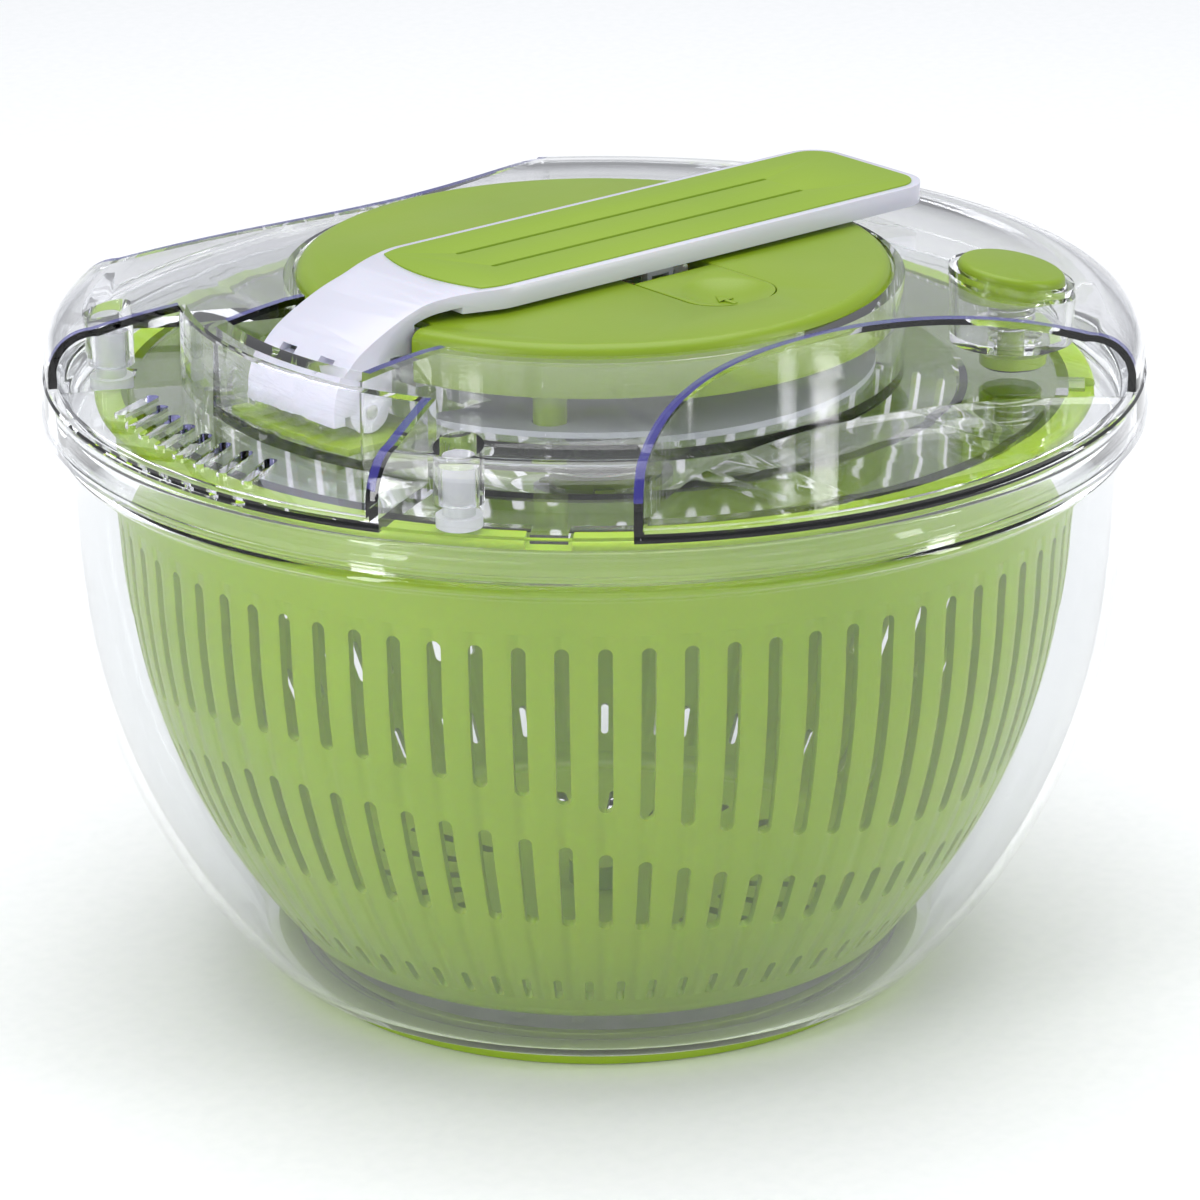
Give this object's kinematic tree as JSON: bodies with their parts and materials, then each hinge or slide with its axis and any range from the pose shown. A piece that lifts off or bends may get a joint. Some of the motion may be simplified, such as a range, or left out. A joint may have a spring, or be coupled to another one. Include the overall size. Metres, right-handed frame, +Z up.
{
  "type": "salad spinner",
  "caption": "Lever-driven salad spinner: a clear bowl and lid, a slotted basket that spins inside, a pull-up lever on the lid and a brake button.",
  "frame": {"origin": "centre of the foot ring's underside, on the basket's spin axis", "axes": "+Z up along the spin axis, +X from the lever's hinge to the lever's tip"},
  "size_m": [0.261, 0.261, 0.1804],
  "materials": {
    "clear_plastic": "clear, bluish-tinted SAN, polished",
    "basket_green": "lime green polypropylene, satin",
    "green_plastic": "lime green ABS, satin top and glossy edges",
    "soft_green": "soft-touch green elastomer",
    "white_plastic": "cool white ABS, satin",
    "nylon": "milky nylon and acetal",
    "steel": "bright drawn steel",
    "rubber": "soft rubber"
  },
  "bodies": {
    "bowl": {"bowl": "clear_plastic", "foot_ring": "green_plastic", "pivot_pin": "steel"},
    "basket": {"basket": "basket_green", "pivot_bush": "nylon"},
    "lid": {"lid": "clear_plastic", "guide_pegs": "nylon", "hinge_pin": "steel", "lever_spring": "steel", "hinge_bracket": "green_plastic", "cover_disc": "green_plastic", "cover_screws": "steel", "gear_base": "nylon", "pinion_axle": "steel", "wheel_axle": "steel", "spindle_bush": "nylon", "lock_spring": "steel", "brake_spring": "steel"},
    "drive": {"drive_plate": "clear_plastic", "drive_coupler": "green_plastic", "output_spindle": "steel", "output_drum": "nylon", "clutch_spring": "steel", "retaining_clip": "steel"},
    "lever": {"lever": "white_plastic", "lever_pad": "soft_green", "drive_sector": "nylon"},
    "pinion": {"rack_pinion": "nylon"},
    "rack": {"rack_slider": "nylon"},
    "wheel": {"wheel_gear": "nylon"},
    "clutch": {"clutch_gear": "nylon"},
    "lock": {"lock_slider": "green_plastic"},
    "brake": {"brake_button": "green_plastic", "brake_shoe": "green_plastic", "brake_pad": "rubber"}
  },
  "joints": [
    {"name": "lid_lift", "type": "slide", "parent": "bowl", "child": "lid", "axis": [0, 0, 1], "range_m": [0, 0.06]},
    {"name": "basket_spin", "type": "hinge", "parent": "bowl", "child": "basket", "pos_m": [0, 0, 0.013], "axis": [0, 0, 1], "continuous": true},
    {"name": "plate_spin", "type": "hinge", "parent": "lid", "child": "drive", "pos_m": [0, 0, 0.13], "axis": [0, 0, 1], "continuous": true},
    {"name": "lever_swing", "type": "hinge", "parent": "lid", "child": "lever", "pos_m": [-0.079, 0, 0.157], "axis": [0, -1, 0], "range_deg": [0, 20]},
    {"name": "pinion_turn", "type": "hinge", "parent": "lid", "child": "pinion", "pos_m": [-0.04492, 0.005, 0.16499], "axis": [0, 1, 0], "range_deg": [0, 121]},
    {"name": "rack_slide", "type": "slide", "parent": "lid", "child": "rack", "axis": [-1, 0, 0], "range_m": [0, 0.0106]},
    {"name": "wheel_turn", "type": "hinge", "parent": "lid", "child": "wheel", "pos_m": [0.03118, 0.018, 0.155], "axis": [0, 0, -1], "range_deg": [0, 121]},
    {"name": "clutch_turn", "type": "hinge", "parent": "lid", "child": "clutch", "pos_m": [0, 0, 0.15], "axis": [0, 0, 1], "range_deg": [0, 313]},
    {"name": "lock_slide", "type": "slide", "parent": "lid", "child": "lock", "axis": [0, 1, 0], "range_m": [0, 0.004]},
    {"name": "brake_press", "type": "slide", "parent": "lid", "child": "brake", "axis": [0, 0, -1], "range_m": [0, 0.0026], "stiffness_N_per_m": 400, "deforming": ["brake_spring"]}
  ],
  "couplings": [
    {"joint": "plate_spin", "follows": "basket_spin", "ratio": 1},
    {"joint": "pinion_turn", "follows": "lever_swing", "ratio": 6},
    {"joint": "rack_slide", "follows": "lever_swing", "m_per_rad": 0.03},
    {"joint": "wheel_turn", "follows": "lever_swing", "ratio": 6},
    {"joint": "clutch_turn", "follows": "lever_swing", "ratio": 15.6}
  ]
}
